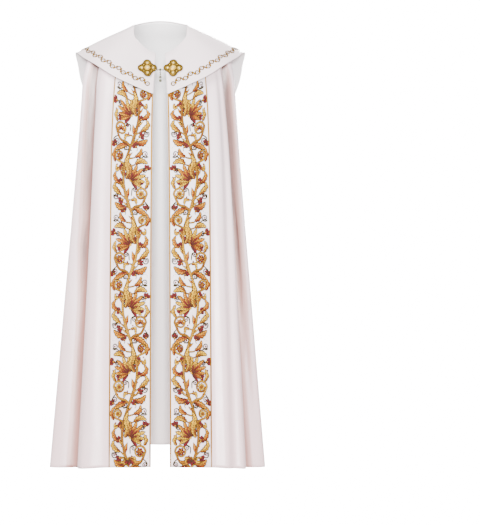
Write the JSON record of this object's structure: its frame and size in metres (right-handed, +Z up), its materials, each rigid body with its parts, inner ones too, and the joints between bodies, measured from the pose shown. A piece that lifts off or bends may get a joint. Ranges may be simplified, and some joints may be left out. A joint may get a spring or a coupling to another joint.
{
  "type": "cope vestment",
  "caption": "Open-fronted ankle-length cope in pale satin with embroidered front bands, a hooded cape collar, a gilt clasp with a swinging drop and a back tassel, in its worn form.",
  "frame": {"origin": "middle of the neck opening, level with the point where the neck meets the shoulders", "axes": "+Z up along the wearer; the front opening faces -Y; the wearer's left is +X"},
  "size_m": [0.6978, 0.4631, 1.4481],
  "materials": {
    "satin": "soft satin, faint rose tint",
    "band_silk": "white silk ground with raised gold, orange and crimson scroll embroidery",
    "collar_satin": "soft satin with gold embroidery",
    "clasp_gold": "gilt filigree with clear stones",
    "tassel_gold": "gold bullion thread"
  },
  "bodies": {
    "cope": {"front_right": "satin", "front_left": "satin", "back": "satin", "band_right": "band_silk", "band_left": "band_silk", "collar_hood": "collar_satin", "rosette_right": "clasp_gold", "rosette_left": "clasp_gold", "clasp_link": "clasp_gold", "tassel": "tassel_gold"},
    "drop": {"clasp_drop": "clasp_gold"}
  },
  "joints": [
    {"name": "drop_swing", "type": "hinge", "parent": "cope", "child": "drop", "pos_m": [0, -0.12492, -0.1474], "axis": [1, 0, 0], "range_deg": [-75, 15]}
  ]
}
